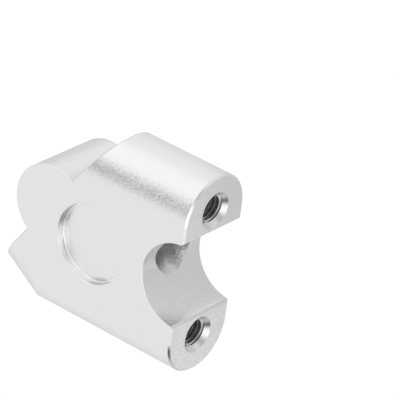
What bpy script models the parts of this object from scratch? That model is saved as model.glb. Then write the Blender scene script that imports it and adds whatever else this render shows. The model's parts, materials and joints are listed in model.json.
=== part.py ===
"""Handlebar riser, milled from one block of aluminium.

A body with round edges leans back over a foot. Under the foot a half-round boss takes the place
of the bar in the lower clamp. Across the end of the body a half-round saddle takes the bar.

+X points forward, to the side where the foot bends. +Y runs along the bar. +Z points up.
The origin lies in the shoulder plane, under the boss axis, halfway through the thickness.
"""

import math

import bmesh
import bpy
from mathutils import Matrix, Vector

MM = 0.001

# Driving dimensions: the bar and the lower clamp
BAR_DIAMETER = 28.6 * MM
BOSS_DIAMETER = 27.9 * MM
BOSS_AXIS_RISE = 0.45 * MM

# Driving dimensions: where the bar goes
BAR_PULLBACK = 25.6 * MM
BAR_RISE = 47.3 * MM
LEAN_ANGLE = math.radians(33.75)

# Driving dimensions: the block
THICKNESS = 27.8 * MM
FRONT_HORN_REACH = 34.5 * MM
REAR_HORN_REACH = 33.9 * MM
FOOT_REACH = 35.75 * MM
SADDLE_AXIS_PROUD = 0.3 * MM
END_RIM_BEVEL = 0.6 * MM
SADDLE_LIP_BEVEL = 0.8 * MM

# Driving dimensions: the screws that close the upper clamp, M10 by 1.5
CLAMP_SCREW_SPACING = 44.0 * MM
TAPPING_DRILL_DIAMETER = 8.5 * MM
TAPPED_DEPTH = 20.0 * MM
COUNTERSINK_DIAMETER = 12.4 * MM
DRILL_POINT_ANGLE = math.radians(118.0)

# Driving dimensions: the bolts that go through to the lower clamp, M10 socket heads
BASE_BOLT_SPACING = 44.0 * MM
BASE_BOLT_BORE = 10.5 * MM
COUNTERBORE_DIAMETER = 17.5 * MM
COUNTERBORE_FLOOR_HEIGHT = 25.8 * MM

# Driving dimensions: the shallow round pocket on each flat side
POCKET_DIAMETER = 26.5 * MM
POCKET_DEPTH = 2.6 * MM
POCKET_FLOOR_FILLET = 0.5 * MM
POCKET_BACK_OFFSET = 5.0 * MM
POCKET_HEIGHT = 18.15 * MM

# Facets: steps in a half circle of the outer form, and in a full turn of a hole
ROUND_STEPS = 40
HOLE_STEPS = 64
FILLET_STEPS = 4

# How far a cutter stands clear of what it cuts
CUT_CLEARANCE = 4.0 * MM
WELD_DISTANCE = 0.001 * MM

HALF_THICKNESS = THICKNESS / 2
SADDLE_RADIUS = BAR_DIAMETER / 2
BOSS_RADIUS = BOSS_DIAMETER / 2

FORWARD = Vector((1.0, 0.0, 0.0))
ALONG_BAR = Vector((0.0, 1.0, 0.0))
UP = Vector((0.0, 0.0, 1.0))
LEAN = Vector((-math.sin(LEAN_ANGLE), 0.0, math.cos(LEAN_ANGLE)))
BACKWARD = Vector((-math.cos(LEAN_ANGLE), 0.0, -math.sin(LEAN_ANGLE)))
SADDLE_AXIS = Vector((-BAR_PULLBACK, 0.0, BAR_RISE))
END_CENTRE = SADDLE_AXIS - LEAN * SADDLE_AXIS_PROUD

# How far the blank reaches down from the end face, well past the boss
BLANK_LENGTH = END_CENTRE.dot(LEAN) + BOSS_RADIUS + FOOT_REACH + THICKNESS
TOP_HEIGHT = (END_CENTRE - BACKWARD * FRONT_HORN_REACH).z + CUT_CLEARANCE
BACK_REACH = FRONT_HORN_REACH + REAR_HORN_REACH + BLANK_LENGTH


def clear_scene():
    """Remove every object that the file opened with."""
    for scene_object in list(bpy.data.objects):
        bpy.data.objects.remove(scene_object, do_unlink=True)


def make_collection(name):
    """Add a collection to the scene and return it."""
    collection = bpy.data.collections.new(name)
    bpy.context.scene.collection.children.link(collection)
    return collection


def arc(centre_u, centre_v, radius, start, end, steps):
    """Points on an arc in a flat outline, from one angle to the other."""
    points = []
    for step in range(steps + 1):
        angle = start + (end - start) * step / steps
        points.append((centre_u + radius * math.cos(angle), centre_v + radius * math.sin(angle)))
    return points


def frame_matrix(origin, axis_u, axis_v):
    """The placing of a flat outline whose own axes run along axis_u and axis_v."""
    axis_w = axis_u.cross(axis_v)
    turn = Matrix((axis_u, axis_v, axis_w)).transposed().to_4x4()
    return Matrix.Translation(origin) @ turn


def weld(mesh):
    """Join the loose caps of a curve's mesh to its sides, with the faces pointing out."""
    shape = bmesh.new()
    shape.from_mesh(mesh)
    bmesh.ops.remove_doubles(shape, verts=shape.verts, dist=WELD_DISTANCE)
    bmesh.ops.recalc_face_normals(shape, faces=shape.faces)
    shape.to_mesh(mesh)
    shape.free()


def solid_from_outline(name, outline, half_depth, placing, collection):
    """A closed outline, filled and extruded to both sides of its plane, as a mesh object."""
    curve = bpy.data.curves.new(name + "_outline", "CURVE")
    curve.dimensions = "2D"
    curve.fill_mode = "BOTH"
    curve.extrude = half_depth
    spline = curve.splines.new("POLY")
    spline.points.add(len(outline) - 1)
    for point, (u, v) in zip(spline.points, outline):
        point.co = (u, v, 0.0, 1.0)
    spline.use_cyclic_u = True
    flat = bpy.data.objects.new(name + "_outline", curve)
    collection.objects.link(flat)
    flat.matrix_world = placing
    bpy.context.view_layer.update()
    evaluated = flat.evaluated_get(bpy.context.evaluated_depsgraph_get())
    mesh = bpy.data.meshes.new_from_object(evaluated)
    weld(mesh)
    solid = bpy.data.objects.new(name, mesh)
    solid.matrix_world = flat.matrix_world
    collection.objects.link(solid)
    bpy.data.objects.remove(flat)
    bpy.data.curves.remove(curve)
    return solid


def turned_cutter(name, profile, placing, collection):
    """A profile of radius and height, turned about its own Z axis with a Screw modifier."""
    mesh = bpy.data.meshes.new(name)
    shape = bmesh.new()
    corners = [shape.verts.new((radius, 0.0, height)) for radius, height in profile]
    for first, second in zip(corners, corners[1:]):
        shape.edges.new((first, second))
    shape.to_mesh(mesh)
    shape.free()
    cutter = bpy.data.objects.new(name, mesh)
    cutter.matrix_world = placing
    collection.objects.link(cutter)
    screw = cutter.modifiers.new("turn", "SCREW")
    screw.axis = "Z"
    screw.angle = math.tau
    screw.steps = HOLE_STEPS
    screw.render_steps = HOLE_STEPS
    screw.use_merge_vertices = True
    screw.merge_threshold = WELD_DISTANCE
    return cutter


def hide_cutter(cutter):
    """Show a cutter as a wire only."""
    cutter.display_type = "WIRE"
    cutter.hide_render = True


def apply_boolean(target, cutter, operation):
    """Add a Boolean that keeps its cutter live."""
    boolean = target.modifiers.new(cutter.name, "BOOLEAN")
    boolean.operation = operation
    boolean.solver = "EXACT"
    boolean.object = cutter
    hide_cutter(cutter)


def bevel_end_rim(body):
    """Break the edge round the end face, which is the far face along the outline's normal."""
    shape = bmesh.new()
    shape.from_mesh(body.data)
    end_height = max(vertex.co.z for vertex in shape.verts)
    end_faces = []
    for face in shape.faces:
        if all(abs(vertex.co.z - end_height) < WELD_DISTANCE for vertex in face.verts):
            end_faces.append(face)
    end_face = bmesh.ops.dissolve_faces(shape, faces=end_faces, use_verts=False)["region"][0]
    bmesh.ops.bevel(
        shape, geom=list(end_face.edges), offset=END_RIM_BEVEL, offset_type="OFFSET", segments=1,
        profile=0.5, affect="EDGES", material=-1, clamp_overlap=False,
    )
    shape.to_mesh(body.data)
    shape.free()


def body_blank(collection):
    """The leaning body: an obround section with round edges, cut off square at the end face."""
    front = -FRONT_HORN_REACH + HALF_THICKNESS
    rear = REAR_HORN_REACH - HALF_THICKNESS
    quarter = math.pi / 2
    outline = arc(rear, 0.0, HALF_THICKNESS, -quarter, quarter, ROUND_STEPS)
    outline += arc(front, 0.0, HALF_THICKNESS, quarter, 3 * quarter, ROUND_STEPS)
    middle = END_CENTRE - LEAN * (BLANK_LENGTH / 2)
    placing = frame_matrix(middle, BACKWARD, -ALONG_BAR)
    body = solid_from_outline("riser_body", outline, BLANK_LENGTH / 2, placing, collection)
    bevel_end_rim(body)
    return body


def foot_form(collection):
    """The upright form of the foot: a round front edge, and open to the rear."""
    quarter = math.pi / 2
    outline = arc(FOOT_REACH - HALF_THICKNESS, 0.0, HALF_THICKNESS, -quarter, quarter, ROUND_STEPS)
    outline += [(-BACK_REACH, HALF_THICKNESS), (-BACK_REACH, -HALF_THICKNESS)]
    height = TOP_HEIGHT + BLANK_LENGTH
    middle = Vector((0.0, 0.0, (TOP_HEIGHT - BLANK_LENGTH) / 2))
    placing = frame_matrix(middle, FORWARD, ALONG_BAR)
    return solid_from_outline("foot_form", outline, height / 2, placing, collection)


def shoulder_mill(collection):
    """What is milled away under the shoulders, round the half-round boss."""
    drop = math.asin(BOSS_AXIS_RISE / BOSS_RADIUS)
    outline = arc(0.0, BOSS_AXIS_RISE, BOSS_RADIUS, -drop, -math.pi + drop, 2 * ROUND_STEPS)
    reach = BACK_REACH
    outline += [(-reach, 0.0), (-reach, -reach), (reach, -reach), (reach, 0.0)]
    placing = frame_matrix(Vector(), FORWARD, UP)
    half_depth = HALF_THICKNESS + CUT_CLEARANCE
    return solid_from_outline("shoulder_mill", outline, half_depth, placing, collection)


def saddle_mill(collection):
    """The half-round seat for the bar, with a small bevel along both of its lips."""
    lip_depth = SADDLE_AXIS_PROUD + SADDLE_LIP_BEVEL
    start = math.asin(lip_depth / SADDLE_RADIUS)
    lip = SADDLE_RADIUS * math.cos(start) + SADDLE_LIP_BEVEL
    outline = arc(0.0, 0.0, SADDLE_RADIUS, math.pi + start, math.tau - start, 2 * ROUND_STEPS)
    outline += [(lip, -SADDLE_AXIS_PROUD), (lip, CUT_CLEARANCE)]
    outline += [(-lip, CUT_CLEARANCE), (-lip, -SADDLE_AXIS_PROUD)]
    placing = frame_matrix(SADDLE_AXIS, BACKWARD, LEAN)
    half_depth = HALF_THICKNESS + CUT_CLEARANCE
    return solid_from_outline("saddle_mill", outline, half_depth, placing, collection)


def tapped_hole(name, across, collection):
    """A blind hole drilled for the thread, with a right-angled countersink at its mouth."""
    drill = TAPPING_DRILL_DIAMETER / 2
    mouth = COUNTERSINK_DIAMETER / 2
    point = drill / math.tan(DRILL_POINT_ANGLE / 2)
    profile = [
        (0.0, CUT_CLEARANCE),
        (mouth + CUT_CLEARANCE, CUT_CLEARANCE),
        (drill, drill - mouth),
        (drill, -TAPPED_DEPTH),
        (0.0, -TAPPED_DEPTH - point),
    ]
    centre = END_CENTRE + BACKWARD * across
    return turned_cutter(name, profile, frame_matrix(centre, BACKWARD, -ALONG_BAR), collection)


def base_bolt_bore(name, forward, top, collection):
    """An upright bolt hole with its counterbore, open upwards as far as top."""
    head = COUNTERBORE_DIAMETER / 2
    shank = BASE_BOLT_BORE / 2
    profile = [
        (0.0, top),
        (head, top),
        (head, COUNTERBORE_FLOOR_HEIGHT),
        (shank, COUNTERBORE_FLOOR_HEIGHT),
        (shank, -CUT_CLEARANCE),
        (0.0, -CUT_CLEARANCE),
    ]
    return turned_cutter(name, profile, Matrix.Translation((forward, 0.0, 0.0)), collection)


def side_pocket(name, side, collection):
    """The shallow round pocket on one flat side (1 or -1), with a fillet round its floor."""
    wall = POCKET_DIAMETER / 2
    fillet = POCKET_FLOOR_FILLET
    profile = [(0.0, CUT_CLEARANCE), (wall, CUT_CLEARANCE)]
    profile += arc(wall - fillet, fillet - POCKET_DEPTH, fillet, 0.0, -math.pi / 2, FILLET_STEPS)
    profile.append((0.0, -POCKET_DEPTH))
    centre = Vector((-POCKET_BACK_OFFSET, side * HALF_THICKNESS, POCKET_HEIGHT))
    placing = frame_matrix(centre, FORWARD, -side * UP)
    return turned_cutter(name, profile, placing, collection)


def blasted_aluminium():
    """Bead-blasted aluminium under a clear anodised skin."""
    material = bpy.data.materials.new("blasted_aluminium")
    material.use_nodes = True
    shader = material.node_tree.nodes["Principled BSDF"]
    shader.inputs["Base Color"].default_value = (0.80, 0.80, 0.81, 1.0)
    shader.inputs["Metallic"].default_value = 1.0
    shader.inputs["Roughness"].default_value = 0.45
    return material


def main():
    """Model the riser: a blank of two crossing forms, then each cut in turn."""
    clear_scene()
    parts = make_collection("motorcycle_bar_riser")
    cutters = make_collection("cutters")
    body = body_blank(parts)
    apply_boolean(body, foot_form(cutters), "INTERSECT")

    clamp_half = CLAMP_SCREW_SPACING / 2
    bolt_half = BASE_BOLT_SPACING / 2
    cuts = [
        shoulder_mill(cutters),
        saddle_mill(cutters),
        tapped_hole("front_tapped_hole", -clamp_half, cutters),
        tapped_hole("rear_tapped_hole", clamp_half, cutters),
        base_bolt_bore("front_bolt_bore", bolt_half, TOP_HEIGHT, cutters),
        base_bolt_bore("rear_bolt_bore", -bolt_half, SADDLE_AXIS.z, cutters),
        side_pocket("left_pocket", 1.0, cutters),
        side_pocket("right_pocket", -1.0, cutters),
    ]
    for cutter in cuts:
        apply_boolean(body, cutter, "DIFFERENCE")

    body.data.materials.clear()
    body.data.materials.append(blasted_aluminium())
    body.data.shade_smooth()
    body.data.set_sharp_from_angle(angle=math.radians(30.0))


main()
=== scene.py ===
import json
import math

import bmesh
import bpy
from bpy.props import FloatProperty, FloatVectorProperty, PointerProperty
from bpy.types import Operator, Panel, PropertyGroup
from mathutils import Matrix, Quaternion, Vector


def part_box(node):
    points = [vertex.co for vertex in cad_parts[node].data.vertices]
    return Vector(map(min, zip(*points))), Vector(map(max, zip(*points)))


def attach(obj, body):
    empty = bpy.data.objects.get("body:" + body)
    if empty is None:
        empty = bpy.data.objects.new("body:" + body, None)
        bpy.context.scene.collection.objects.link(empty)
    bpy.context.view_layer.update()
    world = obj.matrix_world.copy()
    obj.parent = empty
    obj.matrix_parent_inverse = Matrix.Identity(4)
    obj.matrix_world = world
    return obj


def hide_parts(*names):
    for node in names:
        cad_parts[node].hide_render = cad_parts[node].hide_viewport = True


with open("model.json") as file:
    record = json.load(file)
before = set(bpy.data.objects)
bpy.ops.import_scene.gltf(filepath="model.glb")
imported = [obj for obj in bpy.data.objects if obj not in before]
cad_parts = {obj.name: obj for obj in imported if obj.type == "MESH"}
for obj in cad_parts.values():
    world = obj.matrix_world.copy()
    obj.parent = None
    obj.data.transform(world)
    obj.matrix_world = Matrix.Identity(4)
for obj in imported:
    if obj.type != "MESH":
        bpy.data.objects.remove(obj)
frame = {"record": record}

bl_info = {
    "name": "Milled bar riser",
    "version": (1, 0, 0),
    "blender": (4, 5, 0),
    "location": "3D View > Sidebar > Bar riser",
    "description": "Mills, drills, taps and finishes a handlebar riser, and sets it in a studio",
    "category": "Object",
}

NODE = "riser_body"
RISER = "riser_milled"
MM = 0.001

LOW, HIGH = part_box(NODE)
MOUNTS = {mount["name"]: mount for mount in frame["record"]["mounts"]}
FRONT_FACE_POINT = Vector(MOUNTS["front_clamp_face"]["pos_m"])
REAR_FACE_POINT = Vector(MOUNTS["rear_clamp_face"]["pos_m"])

FORWARD = Vector((1.0, 0.0, 0.0))
ALONG_BAR = Vector((0.0, 1.0, 0.0))
UP = Vector((0.0, 0.0, 1.0))
LEAN = Vector(MOUNTS["front_clamp_face"]["axis"]).normalized()
BACKWARD = LEAN.cross(ALONG_BAR)

# The clamp faces' mount points stand to one side of the screws, and the saddle is halfway between them
FACE_CENTRE = (FRONT_FACE_POINT + REAR_FACE_POINT) / 2
FACE_CENTRE.y = 0.0
SCREW_SPACING = (FRONT_FACE_POINT - REAR_FACE_POINT).length

ROUND_SEGMENTS = 96
HOLE_SEGMENTS = 192
THREAD_SEGMENTS = 72
FILLET_SEGMENTS = 24
CUT_CLEARANCE = 4.0 * MM
WELD_DISTANCE = 0.001 * MM
CLEAN_DISTANCE = 0.003 * MM
PLANE_TOLERANCE = 0.02 * MM
CREASE_ANGLE = math.radians(4.0)

# An edge is upright when it rises by more than this share of its length
UPRIGHT = 0.9

# Half the angle of the drill's point and of the thread's form, and where round its hole a thread starts
DRILL_POINT = math.radians(59.0)
THREAD_FLANK = math.radians(30.0)
THREAD_START = math.radians(37.3)

# How often a ring in a pocket's wall changes on its way round, per metre
RING_CHANGES = 30.0

# The width in mm of the film that the lens is stated for
FILM_WIDTH = 36.0


def length(name, description, default):
    """A length that the user may change, in metres."""
    return FloatProperty(
        name=name, description=description, default=default, min=0.0,
        precision=5, subtype="DISTANCE", unit="LENGTH",
    )


def colour(name, description, default):
    """A colour that the user may change."""
    return FloatVectorProperty(
        name=name, description=description, default=default, min=0.0, max=1.0,
        size=3, subtype="COLOR",
    )


def factor(name, description, default):
    """A value from 0 to 1 that the user may change."""
    return FloatProperty(
        name=name, description=description, default=default, min=0.0, max=1.0, subtype="FACTOR",
    )


class RiserSizes(PropertyGroup):
    """The riser's sizes."""

    thickness: length("Thickness", "Across the two flat sides", HIGH.y - LOW.y)
    foot_reach: length("Foot reach", "From the boss axis to the front of the foot", HIGH.x)
    front_horn: length("Front horn", "From the saddle axis to the body's front edge", 34.5 * MM)
    rear_horn: length("Rear horn", "From the saddle axis to the body's rear edge", 33.9 * MM)
    bar_diameter: length("Bar", "Diameter of the handlebar in the saddle", 28.6 * MM)
    saddle_proud: length("Saddle proud", "Height of the saddle axis over the clamp faces", 0.3 * MM)
    boss_rise: length("Boss axis", "Height of the boss axis over the shoulders", 0.45 * MM)
    base_spacing: length("Base bolts", "Distance between the two base bolts", 44.0 * MM)
    base_bore: length("Base bore", "Diameter of a base bolt's hole", 10.5 * MM)
    counterbore: length("Counterbore", "Diameter of a base bolt's counterbore", 17.5 * MM)
    counterbore_floor: length("Counterbore floor", "Its height over the shoulders", 25.8 * MM)
    countersink: length("Countersink", "Diameter at a tapped hole's mouth", 12.4 * MM)
    thread_major: length("Thread", "Major diameter of the tapped holes", 10.0 * MM)
    thread_pitch: length("Pitch", "Pitch of the thread", 1.5 * MM)
    thread_depth: length("Thread depth", "Depth of the thread under the face", 17.0 * MM)
    drill_diameter: length("Drill", "Diameter of the tapping drill", 8.5 * MM)
    drill_depth: length("Drill depth", "Depth of the drilled hole's full diameter", 20.0 * MM)
    pocket_diameter: length("Pocket", "Diameter of the pocket on each flat side", 26.5 * MM)
    pocket_depth: length("Pocket depth", "Depth of that pocket", 2.6 * MM)
    pocket_fillet: length("Pocket fillet", "Radius between its wall and its floor", 0.5 * MM)
    pocket_back: length("Pocket back", "How far it stands behind the boss axis", 5.0 * MM)
    pocket_height: length("Pocket height", "Its height over the shoulders", 18.15 * MM)
    rim_bevel: length("Rim bevel", "Bevel round the end face", 0.6 * MM)
    lip_bevel: length("Lip bevel", "Bevel along the saddle's two lips", 0.8 * MM)
    shoulder_bevel: length("Shoulder bevel", "Bevel round the two shoulders", 0.35 * MM)
    edge_break: length("Edge break", "Width taken off the other sharp edges", 0.12 * MM)


class RiserFinish(PropertyGroup):
    """The riser's finishes."""

    blasted: colour("Blasted", "Colour of the blasted, anodised skin", (0.786, 0.786, 0.788))
    blasted_roughness: factor("Blasted roughness", "Roughness of that skin", 0.275)
    bored_roughness: factor("Bored roughness", "Roughness of the bolt holes' walls", 0.28)
    cut: colour("Cut", "Colour of the surfaces cut after blasting", (0.91, 0.91, 0.915))
    cut_roughness: factor("Cut roughness", "Roughness of those surfaces", 0.16)
    sunk: colour("Countersunk", "Colour of the two countersinks", (0.80, 0.80, 0.805))
    sunk_roughness: factor("Countersunk roughness", "Roughness of the countersinks", 0.22)
    # The thread's colour is darker than the crests' metal: painted shade in the thread's grooves
    thread: colour("Thread", "Colour of the tapped thread", (0.60, 0.60, 0.61))
    thread_roughness: factor("Thread roughness", "Roughness of the thread", 0.28)
    grain: length("Grain", "Width of one dimple left by the blasting beads", 0.38 * MM)
    grain_tilt: factor("Grain tilt", "How far a dimple tilts the surface", 0.11)
    groove: length("Groove", "Width of one groove that the cutter leaves in a pocket's wall", 0.45 * MM)
    groove_depth: length("Groove depth", "Depth of those grooves", 0.16 * MM)


class RiserStudio(PropertyGroup):
    """The camera and the floor."""

    azimuth: FloatProperty(
        name="Azimuth", description="Turn of the camera round the riser, from the right side",
        default=math.radians(-43.51), subtype="ANGLE",
    )
    elevation: FloatProperty(
        name="Elevation", description="Height of the camera over the horizon",
        default=math.radians(9.462), subtype="ANGLE",
    )
    roll: FloatProperty(
        name="Roll", description="Turn of the camera about its own line of sight",
        default=math.radians(144.87), subtype="ANGLE",
    )
    distance: length("Distance", "From the camera to the point that it aims at", 1.0854)
    aim: FloatVectorProperty(
        name="Aim", description="The point that the camera aims at",
        default=(-0.02595, 0.0159, 0.0254), subtype="TRANSLATION",
    )
    lens: FloatProperty(name="Lens", description="Focal length in mm", default=314.4, min=1.0)
    floor_drop: length("Floor", "How far the floor lies under the boss", 1.25)


def riser_object():
    """The riser's mesh object."""
    return bpy.data.objects[RISER]


def frame_matrix(origin, axis_u, axis_v):
    """The placing of a shape whose own X and Y run along axis_u and axis_v."""
    axis_w = axis_u.cross(axis_v)
    turn = Matrix((axis_u, axis_v, axis_w)).transposed().to_4x4()
    return Matrix.Translation(origin) @ turn


def saddle_axis(sizes):
    """The middle of the saddle's axis."""
    return FACE_CENTRE + LEAN * sizes.saddle_proud


def screw_placing(side):
    """The placing of a tapped hole: its Z runs out of the mouth. Side is -1 front, 1 rear."""
    centre = FACE_CENTRE + BACKWARD * (side * SCREW_SPACING / 2)
    return frame_matrix(centre, BACKWARD, -ALONG_BAR)


def object_from_bmesh(shape, name, placing, *materials):
    """Turn a bmesh into an object with its place in its mesh and its faces pointing out."""
    bmesh.ops.remove_doubles(shape, verts=shape.verts, dist=WELD_DISTANCE)
    bmesh.ops.recalc_face_normals(shape, faces=shape.faces)
    bmesh.ops.transform(shape, matrix=placing, verts=shape.verts)
    mesh = bpy.data.meshes.new(name)
    shape.to_mesh(mesh)
    shape.free()
    for material in materials:
        mesh.materials.append(material)
    made = bpy.data.objects.new(name, mesh)
    bpy.context.scene.collection.objects.link(made)
    return made


def combine(target, cutter, operation):
    """Cut, join or cross the target with another object, which is used up."""
    boolean = target.modifiers.new("cut", "BOOLEAN")
    boolean.solver = "EXACT"
    boolean.operation = operation
    boolean.object = cutter
    boolean.material_mode = "TRANSFER"
    bpy.context.view_layer.update()
    evaluated = target.evaluated_get(bpy.context.evaluated_depsgraph_get())
    cut_mesh = bpy.data.meshes.new_from_object(evaluated)
    target.modifiers.clear()
    old_mesh = target.data
    target.data = cut_mesh
    bpy.data.meshes.remove(old_mesh)
    cutter_mesh = cutter.data
    bpy.data.objects.remove(cutter)
    bpy.data.meshes.remove(cutter_mesh)
    clean(cut_mesh)


def clean(mesh):
    """Join the vertices that a cut leaves a hair apart, and drop the slivers between them."""
    shape = bmesh.new()
    shape.from_mesh(mesh)
    bmesh.ops.remove_doubles(shape, verts=shape.verts, dist=CLEAN_DISTANCE)
    bmesh.ops.dissolve_degenerate(shape, edges=shape.edges, dist=CLEAN_DISTANCE)
    shape.to_mesh(mesh)
    shape.free()


def block(low, high):
    """A box as a bmesh, from its lowest to its highest corner."""
    shape = bmesh.new()
    bmesh.ops.create_cube(shape, size=1.0)
    size = Vector(high) - Vector(low)
    middle = (Vector(high) + Vector(low)) / 2
    bmesh.ops.scale(shape, vec=size, verts=shape.verts)
    bmesh.ops.translate(shape, vec=middle, verts=shape.verts)
    return shape


def bevel(shape, edges, width, segments):
    """Bevel those edges, and return the faces that this makes."""
    made = bmesh.ops.bevel(
        shape, geom=edges, offset=width, offset_type="OFFSET", segments=segments,
        profile=0.5, affect="EDGES", material=-1, clamp_overlap=False,
    )
    return made["faces"]


def bevel_where(shape, width, segments, wanted, slot=0):
    """Bevel the edges whose middle and direction pass the test, and give the bevel that slot."""
    chosen = []
    for edge in shape.edges:
        first, second = (vertex.co for vertex in edge.verts)
        if wanted((first + second) / 2, (second - first).normalized()):
            chosen.append(edge)
    for face in bevel(shape, chosen, width, segments):
        face.material_index = slot
    bmesh.ops.remove_doubles(shape, verts=shape.verts, dist=WELD_DISTANCE)


def turned(profile, segments):
    """A turned shape: a profile of radius and height, spun once round Z."""
    shape = bmesh.new()
    corners = [shape.verts.new((radius, 0.0, height)) for radius, height in profile]
    edges = [shape.edges.new(pair) for pair in zip(corners, corners[1:])]
    bmesh.ops.spin(
        shape, geom=corners + edges, cent=(0.0, 0.0, 0.0), axis=(0.0, 0.0, 1.0),
        dvec=(0.0, 0.0, 0.0), angle=math.tau, steps=segments, use_merge=True,
        use_duplicate=False,
    )
    return shape


def arc(centre_u, centre_v, radius, start, end, steps):
    """Points on an arc in a profile, from one angle to the other."""
    points = []
    for step in range(steps + 1):
        angle = start + (end - start) * step / steps
        points.append((centre_u + radius * math.cos(angle), centre_v + radius * math.sin(angle)))
    return points


def set_slots(shape, slot_of):
    """Give each face the material slot that the test names for its middle."""
    for face in shape.faces:
        face.material_index = slot_of(face.calc_center_median())


class RISER_OT_blank(Operator):
    """Saw the leaning blank, round its edges and cross it with the upright foot"""

    bl_idname = "riser.blank"
    bl_label = "Blank"

    def execute(self, context):
        sizes = context.scene.riser_sizes
        half = sizes.thickness / 2
        deep = HIGH.z - LOW.z + sizes.foot_reach + sizes.thickness

        body = block((-sizes.front_horn, -half, -deep), (sizes.rear_horn, half, 0.0))
        bevel_where(body, half, ROUND_SEGMENTS, lambda middle, way: abs(way.z) > UPRIGHT)
        bevel_where(
            body, sizes.rim_bevel, 1, lambda middle, way: abs(middle.z) < PLANE_TOLERANCE, slot=1,
        )
        placing = frame_matrix(FACE_CENTRE, BACKWARD, -ALONG_BAR)
        blank = object_from_bmesh(body, RISER, placing, blasted_skin(), cut_metal())

        foot = block((-deep, -half, -deep), (sizes.foot_reach, half, deep))
        bevel_where(
            foot, half, ROUND_SEGMENTS, lambda middle, way: abs(way.z) > UPRIGHT and middle.x > 0.0,
        )
        combine(blank, object_from_bmesh(foot, "foot", Matrix(), blasted_skin()), "INTERSECT")
        return {"FINISHED"}


class RISER_OT_shoulders(Operator):
    """Mill the shoulders level, bevel them all round and set the half-round boss on them"""

    bl_idname = "riser.shoulders"
    bl_label = "Shoulders and boss"

    def execute(self, context):
        sizes = context.scene.riser_sizes
        reach = HIGH.x - LOW.x + sizes.thickness
        mill = block((-reach, -reach, -reach), (reach, reach, 0.0))
        cutter = object_from_bmesh(mill, "shoulder_mill", Matrix(), blasted_skin())
        combine(riser_object(), cutter, "DIFFERENCE")
        bevel_shoulders(riser_object().data, sizes.shoulder_bevel)

        half = sizes.thickness / 2
        edge = sizes.edge_break
        radius = sizes.boss_rise - LOW.z
        profile = [
            (radius - edge, -half), (radius, edge - half), (radius, half - edge), (radius - edge, half),
        ]
        bar = turned(profile, 2 * HOLE_SEGMENTS)
        bmesh.ops.holes_fill(bar, edges=bar.edges[:], sides=0)
        placing = frame_matrix(Vector((0.0, 0.0, sizes.boss_rise)), UP, FORWARD)
        combine(riser_object(), object_from_bmesh(bar, "boss", placing, blasted_skin()), "UNION")
        return {"FINISHED"}


def bevel_shoulders(mesh, width):
    """Bevel the outer edges of the two shoulder faces, which lie at height 0."""
    shape = bmesh.new()
    shape.from_mesh(mesh)
    outer = []
    for edge in shape.edges:
        level = all(abs(vertex.co.z) < PLANE_TOLERANCE for vertex in edge.verts)
        if level and edge.calc_face_angle_signed(0.0) > CREASE_ANGLE:
            outer.append(edge)
    bevel(shape, outer, width, 1)
    shape.to_mesh(mesh)
    shape.free()


class RISER_OT_saddle(Operator):
    """Mill the half-round saddle across the end face, and bevel its lips and its two ends"""

    bl_idname = "riser.saddle"
    bl_label = "Saddle"

    def execute(self, context):
        sizes = context.scene.riser_sizes
        radius = sizes.bar_diameter / 2
        inner = sizes.thickness / 2 - sizes.edge_break
        flare = sizes.edge_break + CUT_CLEARANCE
        profile = [
            (0.0, -inner - flare), (radius + flare, -inner - flare), (radius, -inner),
            (radius, inner), (radius + flare, inner + flare), (0.0, inner + flare),
        ]
        mill = turned(profile, 2 * HOLE_SEGMENTS)
        placing = frame_matrix(saddle_axis(sizes), LEAN, BACKWARD)
        cutter = object_from_bmesh(mill, "saddle_mill", placing, blasted_skin())
        combine(riser_object(), cutter, "DIFFERENCE")

        placing = frame_matrix(saddle_axis(sizes), BACKWARD, -ALONG_BAR)
        cutter = object_from_bmesh(lip_cutter(sizes), "lip_cutter", placing, blasted_skin())
        combine(riser_object(), cutter, "DIFFERENCE")
        return {"FINISHED"}


def lip_cutter(sizes):
    """A bar whose sides slant at 45 degrees, and meet the saddle's wall where the lips' bevels start."""
    radius = sizes.bar_diameter / 2
    reach = sizes.thickness / 2 + CUT_CLEARANCE
    depth = sizes.saddle_proud + sizes.lip_bevel
    start = math.sqrt(radius ** 2 - depth ** 2)
    overrun = sizes.lip_bevel
    narrow = start - overrun
    wide = start + depth + CUT_CLEARANCE
    bar = block((-wide, -reach, -depth - overrun), (wide, reach, CUT_CLEARANCE))
    lower = [vertex for vertex in bar.verts if vertex.co.z < 0.0]
    bmesh.ops.scale(bar, vec=(narrow / wide, 1.0, 1.0), verts=lower)
    return bar


class RISER_OT_base_bores(Operator):
    """Bore and counterbore the two upright holes for the base bolts"""

    bl_idname = "riser.base_bores"
    bl_label = "Base bolt bores"

    def execute(self, context):
        sizes = context.scene.riser_sizes
        head = sizes.counterbore / 2
        shank = sizes.base_bore / 2
        floor = sizes.counterbore_floor
        edge = sizes.edge_break
        # The front bore runs out of the top, and the rear one ends inside the saddle
        for side, top in ((1, HIGH.z + CUT_CLEARANCE), (-1, saddle_axis(sizes).z)):
            profile = [
                (0.0, top), (head, top), (head, floor), (shank, floor), (shank, edge),
                (shank + 2 * edge, -edge), (0.0, -edge),
            ]
            placing = Matrix.Translation((side * sizes.base_spacing / 2, 0.0, 0.0))
            bore = turned(profile, HOLE_SEGMENTS)
            cutter = object_from_bmesh(bore, "base_bore", placing, bored_wall())
            combine(riser_object(), cutter, "DIFFERENCE")
        return {"FINISHED"}


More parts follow.
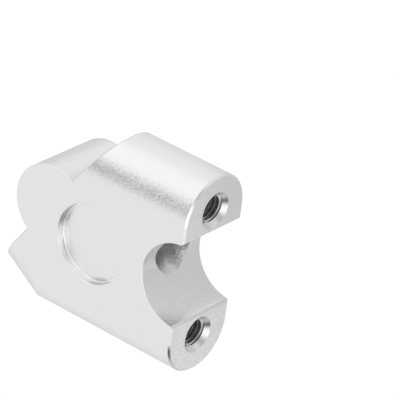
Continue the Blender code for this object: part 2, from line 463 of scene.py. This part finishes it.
def tap_cutter(sizes):
    """A solid screw that leaves the thread's grooves and runs up into the countersink."""
    pitch = sizes.thread_pitch
    major = sizes.thread_major / 2
    inside_drill = pitch / 10
    minor = sizes.drill_diameter / 2 - inside_drill
    flank = (major - minor) * math.tan(THREAD_FLANK)
    root = pitch / 8
    land = pitch - root - 2 * flank
    top = -pitch / 3
    below, above = 2, 1
    turns = below + int(sizes.thread_depth / pitch) + above
    shape = bmesh.new()
    corners = []
    for turn in range(turns):
        foot = -sizes.thread_depth + (turn - below) * pitch
        corners.append(shape.verts.new((minor, 0.0, foot)))
        corners.append(shape.verts.new((minor, 0.0, foot + land)))
        corners.append(shape.verts.new((major, 0.0, foot + land + flank)))
        corners.append(shape.verts.new((major, 0.0, foot + land + flank + root)))
    edges = [shape.edges.new(pair) for pair in zip(corners, corners[1:])]
    bmesh.ops.spin(
        shape, geom=corners + edges, cent=(0.0, 0.0, 0.0), axis=(0.0, 0.0, 1.0),
        dvec=(0.0, 0.0, pitch / THREAD_SEGMENTS), angle=math.tau, steps=THREAD_SEGMENTS,
        use_merge=False, use_duplicate=False,
    )
    bmesh.ops.remove_doubles(shape, verts=shape.verts, dist=WELD_DISTANCE)
    bmesh.ops.triangulate(shape, faces=shape.faces)
    for height, way in ((-sizes.thread_depth, -1.0), (top, 1.0)):
        geometry = shape.verts[:] + shape.edges[:] + shape.faces[:]
        bmesh.ops.bisect_plane(
            shape, geom=geometry, dist=WELD_DISTANCE, plane_co=(0.0, 0.0, height),
            plane_no=(0.0, 0.0, way), clear_outer=True,
        )
    bmesh.ops.holes_fill(shape, edges=shape.edges[:], sides=0)
    return shape


class RISER_OT_tapped_holes(Operator):
    """Drill, countersink and tap the two blind holes in the end face"""

    bl_idname = "riser.tapped_holes"
    bl_label = "Tapped holes"

    def execute(self, context):
        sizes = context.scene.riser_sizes
        drill = sizes.drill_diameter / 2
        tip = drill / math.tan(DRILL_POINT)
        mouth = sizes.countersink / 2
        profile = [
            (0.0, CUT_CLEARANCE), (mouth + CUT_CLEARANCE, CUT_CLEARANCE), (drill, drill - mouth),
            (drill, -sizes.drill_depth), (0.0, -sizes.drill_depth - tip),
        ]
        for side in (-1, 1):
            placing = screw_placing(side)
            hole = turned(profile, HOLE_SEGMENTS)
            set_slots(hole, lambda middle: 0 if middle.z > drill - mouth else 1)
            cutter = object_from_bmesh(hole, "drill", placing, countersunk_metal(), thread_crest())
            turn = Matrix.Rotation(THREAD_START, 4, "Z")
            # The grooves that the tap leaves take the darker thread colour, which is painted shade
            tap = object_from_bmesh(tap_cutter(sizes), "tap", placing @ turn, thread_groove_painted_shade())
            combine(cutter, tap, "UNION")
            combine(riser_object(), cutter, "DIFFERENCE")
        return {"FINISHED"}


class RISER_OT_side_pockets(Operator):
    """Mill the shallow round pocket in each flat side"""

    bl_idname = "riser.side_pockets"
    bl_label = "Side pockets"

    def execute(self, context):
        sizes = context.scene.riser_sizes
        wall = sizes.pocket_diameter / 2
        fillet = sizes.pocket_fillet
        depth = sizes.pocket_depth
        edge = sizes.edge_break
        profile = [(0.0, CUT_CLEARANCE), (wall + edge + CUT_CLEARANCE, CUT_CLEARANCE), (wall, -edge)]
        profile += arc(wall - fillet, fillet - depth, fillet, 0.0, -math.pi / 2, FILLET_SEGMENTS)
        profile.append((0.0, -depth))
        for side in (-1, 1):
            centre = Vector((-sizes.pocket_back, side * sizes.thickness / 2, sizes.pocket_height))
            placing = frame_matrix(centre, FORWARD, -side * UP)
            pocket = turned(profile, HOLE_SEGMENTS)
            set_slots(pocket, lambda middle: int(middle.xy.length > wall - fillet and middle.z < 0.0))
            cutter = object_from_bmesh(pocket, "pocket", placing, blasted_skin(), pocket_wall())
            combine(riser_object(), cutter, "DIFFERENCE")
        return {"FINISHED"}


class RISER_OT_edges(Operator):
    """Shade the rounds smooth between the sharp edges and hand the riser to its frame"""

    bl_idname = "riser.edges"
    bl_label = "Edges"

    def execute(self, context):
        riser = riser_object()
        mark_edges(riser.data)
        weighted = riser.modifiers.new("face_normals", "WEIGHTED_NORMAL")
        weighted.keep_sharp = True
        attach(riser, "root")
        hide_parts(NODE)
        return {"FINISHED"}


def mark_edges(mesh):
    """Shade the rounds smooth and keep the creases sharp."""
    shape = bmesh.new()
    shape.from_mesh(mesh)
    for face in shape.faces:
        face.smooth = True
    for edge in shape.edges:
        edge.smooth = edge.calc_face_angle(0.0) < CREASE_ANGLE
    shape.to_mesh(mesh)
    shape.free()


def blast_grain_group():
    """A node group for the dimples that the beads leave: each tilts the surface in a way of its own."""
    name = "Blast grain"
    if name in bpy.data.node_groups:
        return bpy.data.node_groups[name]
    group = bpy.data.node_groups.new(name, "ShaderNodeTree")
    group.interface.new_socket("Dimples per metre", in_out="INPUT", socket_type="NodeSocketFloat")
    group.interface.new_socket("Tilt", in_out="INPUT", socket_type="NodeSocketFloat")
    group.interface.new_socket("Normal", in_out="OUTPUT", socket_type="NodeSocketVector")
    nodes, links = group.nodes, group.links
    start = nodes.new("NodeGroupInput")
    end = nodes.new("NodeGroupOutput")
    place = nodes.new("ShaderNodeTexCoord")
    dimples = nodes.new("ShaderNodeTexVoronoi")
    around_zero = nodes.new("ShaderNodeVectorMath")
    around_zero.operation = "SUBTRACT"
    around_zero.inputs[1].default_value = (0.5, 0.5, 0.5)
    tilt = nodes.new("ShaderNodeVectorMath")
    tilt.operation = "SCALE"
    surface = nodes.new("ShaderNodeNewGeometry")
    tilted = nodes.new("ShaderNodeVectorMath")
    tilted.operation = "ADD"
    links.new(start.outputs["Dimples per metre"], dimples.inputs["Scale"])
    links.new(place.outputs["Object"], dimples.inputs["Vector"])
    links.new(dimples.outputs["Color"], around_zero.inputs[0])
    links.new(around_zero.outputs[0], tilt.inputs[0])
    links.new(start.outputs["Tilt"], tilt.inputs["Scale"])
    links.new(tilt.outputs[0], tilted.inputs[0])
    links.new(surface.outputs["Normal"], tilted.inputs[1])
    links.new(tilted.outputs[0], end.inputs["Normal"])
    return group


def add_grain(tree, shader):
    """Give a shader the blasted grain."""
    finish = bpy.context.scene.riser_finish
    grain = tree.nodes.new("ShaderNodeGroup")
    grain.node_tree = blast_grain_group()
    grain.inputs["Dimples per metre"].default_value = 1.0 / finish.grain
    grain.inputs["Tilt"].default_value = finish.grain_tilt
    tree.links.new(grain.outputs["Normal"], shader.inputs["Normal"])


def add_rings(tree, shader):
    """Give a shader the fine rings that the cutter leaves in a pocket's wall on its way down."""
    finish = bpy.context.scene.riser_finish
    place = tree.nodes.new("ShaderNodeTexCoord")
    stretch = tree.nodes.new("ShaderNodeMapping")
    stretch.inputs["Scale"].default_value = (RING_CHANGES, 1.0 / finish.groove, RING_CHANGES)
    grooves = tree.nodes.new("ShaderNodeTexNoise")
    grooves.inputs["Scale"].default_value = 1.0
    grooves.inputs["Detail"].default_value = 1.0
    bump = tree.nodes.new("ShaderNodeBump")
    bump.inputs["Distance"].default_value = finish.groove_depth
    tree.links.new(place.outputs["Object"], stretch.inputs["Vector"])
    tree.links.new(stretch.outputs["Vector"], grooves.inputs["Vector"])
    tree.links.new(grooves.outputs["Fac"], bump.inputs["Height"])
    tree.links.new(bump.outputs["Normal"], shader.inputs["Normal"])


def new_material(name):
    """A material that holds only its output, its node tree, and the output's socket."""
    material = bpy.data.materials.new(name)
    material.use_nodes = True
    tree = material.node_tree
    tree.nodes.clear()
    output = tree.nodes.new("ShaderNodeOutputMaterial")
    return material, tree, output.inputs["Surface"]


def metal(name, value, roughness, add_relief=None):
    """A metal of one colour and roughness, made once, with its relief if it has one."""
    if name in bpy.data.materials:
        return bpy.data.materials[name]
    material, tree, surface = new_material(name)
    shader = tree.nodes.new("ShaderNodeBsdfPrincipled")
    shader.inputs["Metallic"].default_value = 1.0
    shader.inputs["Base Color"].default_value = (*value, 1.0)
    shader.inputs["Roughness"].default_value = roughness
    tree.links.new(shader.outputs["BSDF"], surface)
    if add_relief:
        add_relief(tree, shader)
    return material


def blasted_skin():
    """Bead-blasted aluminium under a clear anodised film."""
    finish = bpy.context.scene.riser_finish
    return metal("blasted_skin", finish.blasted, finish.blasted_roughness, add_grain)


def bored_wall():
    """The bolt holes' walls, which the beads only reach at a slant."""
    finish = bpy.context.scene.riser_finish
    return metal("bored_wall", finish.blasted, finish.bored_roughness, add_grain)


def cut_metal():
    """Bright metal, as the milling cutter left it."""
    finish = bpy.context.scene.riser_finish
    return metal("cut_metal", finish.cut, finish.cut_roughness)


def pocket_wall():
    """The pockets' walls, with the cutter's rings in them."""
    finish = bpy.context.scene.riser_finish
    return metal("pocket_wall", finish.cut, finish.cut_roughness, add_rings)


def countersunk_metal():
    """The two countersinks, as their tool left them."""
    finish = bpy.context.scene.riser_finish
    return metal("countersunk_metal", finish.sunk, finish.sunk_roughness)


def thread_groove_painted_shade():
    """The thread's grooves, in a darker copy of the metal that paints in the shade that falls in them.
    """
    finish = bpy.context.scene.riser_finish
    return metal("thread_groove_painted_shade", finish.thread, finish.thread_roughness)


def thread_crest():
    """The thread's crests and the drilled wall, as the drill left them."""
    finish = bpy.context.scene.riser_finish
    return metal("thread_crest", finish.cut, finish.thread_roughness)


class RISER_OT_studio(Operator):
    """Set the floor, the surroundings and cards that the metal mirrors, the key lamp and the camera"""

    bl_idname = "riser.studio"
    bl_label = "Studio"

    def execute(self, context):
        studio = context.scene.riser_studio
        context.scene.view_settings.view_transform = "Standard"
        add_floor(studio)
        add_surroundings(context.scene)
        for card in SIDE_CARDS:
            add_side_card(*card)
        add_key_lamp(context.scene)
        add_camera(context.scene, studio)
        return {"FINISHED"}


# What the metal mirrors, from black at 0 past white at 1: low down, and overhead
LOW_SHADE = 1.07
HIGH_SHADE = 0.48

# Soft round patches of it, each over the ones before: name, azimuth from the front towards the left
# side, height over the horizon, radius, how much of the radius its edge takes, and shade
PATCHES = (
    ("open_front", -19.0, -20.0, 62.0, 0.70, 1.01),
    ("side_diffuser", -73.0, 4.0, 27.0, 0.70, 1.24),
    ("rear_screen", 163.0, 40.0, 56.0, 0.70, 0.83),
    ("far_diffuser", 54.0, 58.0, 33.0, 0.70, 1.10),
    ("key_box", -113.0, 38.0, 45.0, 0.74, 1.24),
    ("camera_side_box", -140.0, -22.0, 42.0, 0.72, 1.16),
    ("low_side_box", -137.0, -66.0, 38.0, 0.70, 1.24),
    ("high_flag", -47.0, 55.0, 21.0, 0.60, 0.12),
    ("low_flag", -69.0, -43.5, 21.5, 0.62, 0.35),
    ("low_rear_box", -175.0, -37.0, 39.0, 0.70, 1.20),
    ("far_low_card", 31.0, -39.0, 57.0, 0.63, 0.80),
    ("rear_flag", 179.0, 40.0, 31.0, 0.70, 0.37),
)

# The grey cards close beside the saddle: each one's name, lowest and highest corner, and shade
SIDE_CARDS = (
    ("side_card", (-0.095, 0.075, 0.0), (0.055, 0.077, 0.120), 0.65),
    ("low_side_card", (-0.075, 0.075, -0.022), (-0.042, 0.077, 0.0), 0.65),
)

# The key lamp: the way to it, its distance and width in metres, and how much it adds to the
# surroundings behind it
KEY_WAY = Vector((-0.33, -0.71, 0.62))
KEY_DISTANCE = 1.0
KEY_WIDTH = 0.5
KEY_SHADE = 0.1

# The floor: half its width in metres, how much light its paint gives back, and the glow that brings
# it up to white
FLOOR_REACH = 6.0
FLOOR_PAINT = 0.8
FLOOR_GLOW = 0.24


def way_towards(azimuth, height):
    """The direction at those two angles in degrees."""
    turn, rise = math.radians(azimuth), math.radians(height)
    return Vector((math.cos(rise) * math.cos(turn), math.cos(rise) * math.sin(turn), math.sin(rise)))


def add_side_card(name, low, high, shade):
    """A plain upright card that only mirrors: the camera doesn't see it and it casts no shadow."""
    card = object_from_bmesh(block(low, high), name, Matrix(), card_paint(name, shade))
    card.visible_camera = False
    card.visible_diffuse = False
    card.visible_transmission = False
    card.visible_shadow = False


def card_paint(name, shade):
    """An even shade that other light doesn't change."""
    material, tree, surface = new_material(name)
    glow = tree.nodes.new("ShaderNodeEmission")
    glow.inputs["Color"].default_value = (shade, shade, shade, 1.0)
    tree.links.new(glow.outputs["Emission"], surface)
    return material


def add_key_lamp(scene):
    """A square soft box that faces the riser, with the power that makes its face shine at that shade."""
    lamp = bpy.data.lights.new("key_lamp", "AREA")
    lamp.shape = "SQUARE"
    lamp.size = KEY_WIDTH
    lamp.energy = KEY_SHADE * math.pi * KEY_WIDTH ** 2
    outward = KEY_WAY.normalized()
    turn = outward.to_track_quat("Z", "Y").to_matrix().to_4x4()
    placed = bpy.data.objects.new("key_lamp", lamp)
    placed.matrix_world = Matrix.Translation(outward * KEY_DISTANCE) @ turn
    scene.collection.objects.link(placed)


def add_floor(studio):
    """A wide pale floor under the riser, which the metal doesn't mirror."""
    shape = bmesh.new()
    bmesh.ops.create_grid(shape, x_segments=1, y_segments=1, size=FLOOR_REACH)
    placing = Matrix.Translation((0.0, 0.0, LOW.z - studio.floor_drop))
    floor = object_from_bmesh(shape, "floor", placing, floor_paint())
    floor.visible_glossy = False


def floor_paint():
    """White paint that shows as the white of the surroundings."""
    material, tree, surface = new_material("floor_paint")
    paint = tree.nodes.new("ShaderNodeBsdfDiffuse")
    paint.inputs["Color"].default_value = (FLOOR_PAINT, FLOOR_PAINT, FLOOR_PAINT, 1.0)
    glow = tree.nodes.new("ShaderNodeEmission")
    glow.inputs["Strength"].default_value = FLOOR_GLOW
    total = tree.nodes.new("ShaderNodeAddShader")
    tree.links.new(paint.outputs["BSDF"], total.inputs[0])
    tree.links.new(glow.outputs["Emission"], total.inputs[1])
    tree.links.new(total.outputs["Shader"], surface)
    return material


def soft_patch_group():
    """A node group that lays one soft round patch over what the metal would mirror without it."""
    group = bpy.data.node_groups.new("Soft patch", "ShaderNodeTree")
    for name in ("Way", "Centre"):
        group.interface.new_socket(name, in_out="INPUT", socket_type="NodeSocketVector")
    for name in ("Under", "Outer", "Inner", "Shade"):
        group.interface.new_socket(name, in_out="INPUT", socket_type="NodeSocketFloat")
    group.interface.new_socket("Shade", in_out="OUTPUT", socket_type="NodeSocketFloat")
    nodes, links = group.nodes, group.links
    start = nodes.new("NodeGroupInput")
    end = nodes.new("NodeGroupOutput")
    cosine = nodes.new("ShaderNodeVectorMath")
    cosine.operation = "DOT_PRODUCT"
    angle = nodes.new("ShaderNodeMath")
    angle.operation = "ARCCOSINE"
    edge = nodes.new("ShaderNodeMapRange")
    edge.interpolation_type = "SMOOTHSTEP"
    mix = nodes.new("ShaderNodeMix")
    links.new(start.outputs["Way"], cosine.inputs[0])
    links.new(start.outputs["Centre"], cosine.inputs[1])
    links.new(cosine.outputs["Value"], angle.inputs[0])
    links.new(angle.outputs[0], edge.inputs["Value"])
    links.new(start.outputs["Outer"], edge.inputs["From Min"])
    links.new(start.outputs["Inner"], edge.inputs["From Max"])
    links.new(edge.outputs["Result"], mix.inputs["Factor"])
    links.new(start.outputs["Under"], mix.inputs["A"])
    links.new(start.outputs["Shade"], mix.inputs["B"])
    links.new(mix.outputs["Result"], end.inputs["Shade"])
    return group


def add_surroundings(scene):
    """White surroundings, in which the metal mirrors the flags, cards and boxes of a studio."""
    world = bpy.data.worlds.new("studio_surroundings")
    scene.world = world
    world.use_nodes = True
    nodes, links = world.node_tree.nodes, world.node_tree.links
    sky = nodes["Background"]
    place = nodes.new("ShaderNodeTexCoord")
    split = nodes.new("ShaderNodeSeparateXYZ")
    links.new(place.outputs["Generated"], split.inputs["Vector"])
    rise = nodes.new("ShaderNodeMapRange")
    rise.interpolation_type = "SMOOTHSTEP"
    rise.inputs["From Min"].default_value = -1.0
    rise.inputs["To Min"].default_value = LOW_SHADE
    rise.inputs["To Max"].default_value = HIGH_SHADE
    links.new(split.outputs["Z"], rise.inputs["Value"])
    shade = rise.outputs["Result"]
    group = soft_patch_group()
    for name, azimuth, height, radius, softness, value in PATCHES:
        patch = nodes.new("ShaderNodeGroup")
        patch.node_tree = group
        patch.name = name
        patch.inputs["Centre"].default_value = way_towards(azimuth, height)
        patch.inputs["Outer"].default_value = math.radians(radius)
        patch.inputs["Inner"].default_value = math.radians(radius * (1.0 - softness))
        patch.inputs["Shade"].default_value = value
        links.new(place.outputs["Generated"], patch.inputs["Way"])
        links.new(shade, patch.inputs["Under"])
        shade = patch.outputs["Shade"]
    rays = nodes.new("ShaderNodeLightPath")
    seen = nodes.new("ShaderNodeMix")
    seen.inputs["A"].default_value = 1.0
    links.new(rays.outputs["Is Glossy Ray"], seen.inputs["Factor"])
    links.new(shade, seen.inputs["B"])
    links.new(seen.outputs["Result"], sky.inputs["Color"])


def add_camera(scene, studio):
    """The camera at the photograph's angle."""
    level = math.cos(studio.elevation)
    back = Vector((
        math.sin(studio.azimuth) * level,
        -math.cos(studio.azimuth) * level,
        math.sin(studio.elevation),
    ))
    turn = back.to_track_quat("Z", "Y") @ Quaternion((0.0, 0.0, 1.0), studio.roll)
    camera = bpy.data.objects.new("camera", bpy.data.cameras.new("camera"))
    camera.data.lens = studio.lens
    camera.data.sensor_width = FILM_WIDTH
    camera.location = Vector(studio.aim) + back * studio.distance
    camera.rotation_mode = "QUATERNION"
    camera.rotation_quaternion = turn
    scene.collection.objects.link(camera)
    scene.camera = camera


STEPS = (
    RISER_OT_blank,
    RISER_OT_shoulders,
    RISER_OT_saddle,
    RISER_OT_base_bores,
    RISER_OT_tapped_holes,
    RISER_OT_side_pockets,
    RISER_OT_edges,
    RISER_OT_studio,
)


class RISER_PT_panel(Panel):
    """The steps that make the riser, and its sizes and finishes"""

    bl_idname = "RISER_PT_panel"
    bl_label = "Bar riser"
    bl_space_type = "VIEW_3D"
    bl_region_type = "UI"
    bl_category = "Bar riser"

    def draw(self, context):
        layout = self.layout
        for step in STEPS:
            layout.operator(step.bl_idname)
        for group in (context.scene.riser_sizes, context.scene.riser_finish, context.scene.riser_studio):
            box = layout.box()
            for name in group.bl_rna.properties.keys():
                if name not in ("rna_type", "name"):
                    box.prop(group, name)


GROUPS = (RiserSizes, RiserFinish, RiserStudio)


def register():
    """Register the classes and give the scene its settings."""
    for item in GROUPS + STEPS + (RISER_PT_panel,):
        bpy.utils.register_class(item)
    bpy.types.Scene.riser_sizes = PointerProperty(type=RiserSizes)
    bpy.types.Scene.riser_finish = PointerProperty(type=RiserFinish)
    bpy.types.Scene.riser_studio = PointerProperty(type=RiserStudio)


def unregister():
    """Take the settings and the classes away again."""
    del bpy.types.Scene.riser_studio
    del bpy.types.Scene.riser_finish
    del bpy.types.Scene.riser_sizes
    for item in reversed(GROUPS + STEPS + (RISER_PT_panel,)):
        bpy.utils.unregister_class(item)


def main():
    """Make the riser step by step."""
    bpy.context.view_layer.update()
    register()
    bpy.ops.riser.blank()
    bpy.ops.riser.shoulders()
    bpy.ops.riser.saddle()
    bpy.ops.riser.base_bores()
    bpy.ops.riser.tapped_holes()
    bpy.ops.riser.side_pockets()
    bpy.ops.riser.edges()
    bpy.ops.riser.studio()


if __name__ == "__main__":
    main()
